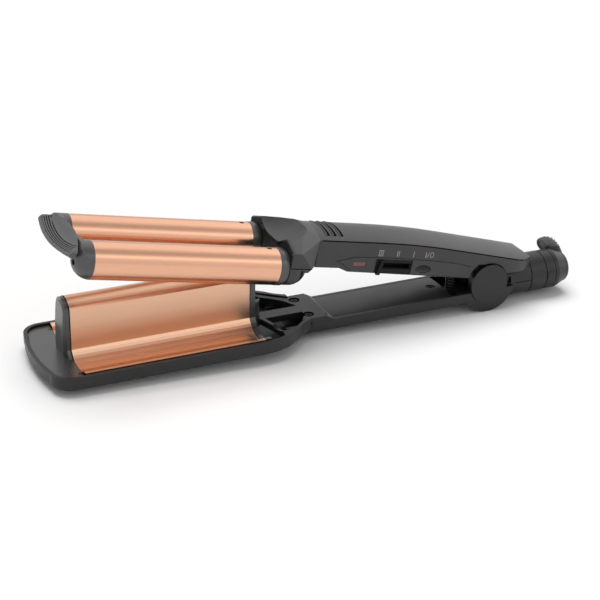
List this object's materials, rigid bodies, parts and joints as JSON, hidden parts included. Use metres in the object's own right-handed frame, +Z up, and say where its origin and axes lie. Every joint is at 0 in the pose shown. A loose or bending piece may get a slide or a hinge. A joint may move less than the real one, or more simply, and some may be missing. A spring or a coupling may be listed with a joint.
{
  "type": "hair waver",
  "caption": "Three-barrel hair waver resting open: two rose-gold heated barrels on a hinged upper arm over a tall-ridged wave plate in a dark tray, with slider, button, lamp and cord swivel.",
  "frame": {"origin": "middle of the flat foot under the tray of the lower arm", "axes": "+X from the tray toward the cord end, +Z up, -Z through the flat foot the part rests on"},
  "size_m": [0.3569, 0.0764, 0.0888],
  "materials": {
    "lower_body": "matte dark grey moulded plastic, fine spark grain",
    "upper_body": "matte dark grey moulded plastic, fine spark grain",
    "end_caps": "heat resistant dark grey plastic, fine grain",
    "rose_coating": "satin rose-gold ceramic coating with faint lengthwise polish",
    "ceramic_heater": "bare sintered ceramic",
    "spring_steel": "bright drawn wire",
    "screw_steel": "zinc plated steel",
    "dark_screw": "blackened steel",
    "controls": "semi gloss black plastic",
    "lamp": "tinted translucent plastic",
    "board": "green solder mask",
    "boot_rubber": "matte ribbed flexible rubber"
  },
  "bodies": {
    "lower_arm": {"lower_shell": "lower_body", "lower_cover": "lower_body", "wave_plate": "rose_coating", "plate_front_cap": "end_caps", "plate_rear_cap": "end_caps", "plate_heater": "ceramic_heater", "heater_clip": "spring_steel", "deck_screws": "screw_steel", "lever_screws": "screw_steel", "neck_cover": "lower_body", "neck_collar": "lower_body", "hinge_pin": "screw_steel", "hinge_cap_near": "lower_body", "hinge_cap_far": "lower_body", "return_spring": "spring_steel", "spring_post": "lower_body"},
    "upper_arm": {"handle_shell": "upper_body", "top_shell": "upper_body", "shroud_base": "upper_body", "barrel_near": "rose_coating", "barrel_far": "rose_coating", "barrel_heaters": "ceramic_heater", "collar_near": "end_caps", "collar_far": "end_caps", "barrel_screws": "dark_screw", "tip_frame": "end_caps", "thumb_tab": "end_caps", "tip_screws": "dark_screw", "control_panel": "upper_body", "slider_track": "controls", "lamp_lens": "lamp", "circuit_board": "board", "switch_bodies": "controls"},
    "temp_slider_body": {"temp_slider": "controls"},
    "power_button_body": {"power_button": "controls"},
    "cord_swivel": {"swivel_drum": "lower_body", "swivel_cap": "lower_body", "swivel_key": "lower_body", "strain_relief": "boot_rubber"}
  },
  "joints": [
    {"name": "arm_hinge", "type": "hinge", "parent": "lower_arm", "child": "upper_arm", "pos_m": [0.22402, 0, 0.019], "axis": [0, -1, 0], "range_deg": [0, 11.5], "stiffness_Nm_per_rad": 1.7, "springref_deg": -20.05, "deforming": ["return_spring"]},
    {"name": "temperature", "type": "slide", "parent": "upper_arm", "child": "temp_slider_body", "axis": [0.9843, 0, -0.1766], "range_m": [0, 0.02]},
    {"name": "power", "type": "slide", "parent": "upper_arm", "child": "power_button_body", "axis": [0, 1, 0], "range_m": [0, 0.0007], "stiffness_N_per_m": 800, "springref_m": -0.0006},
    {"name": "swivel", "type": "hinge", "parent": "lower_arm", "child": "cord_swivel", "pos_m": [0.27833, 0, 0.01486], "axis": [0.9997, 0, 0.0232], "continuous": true}
  ]
}
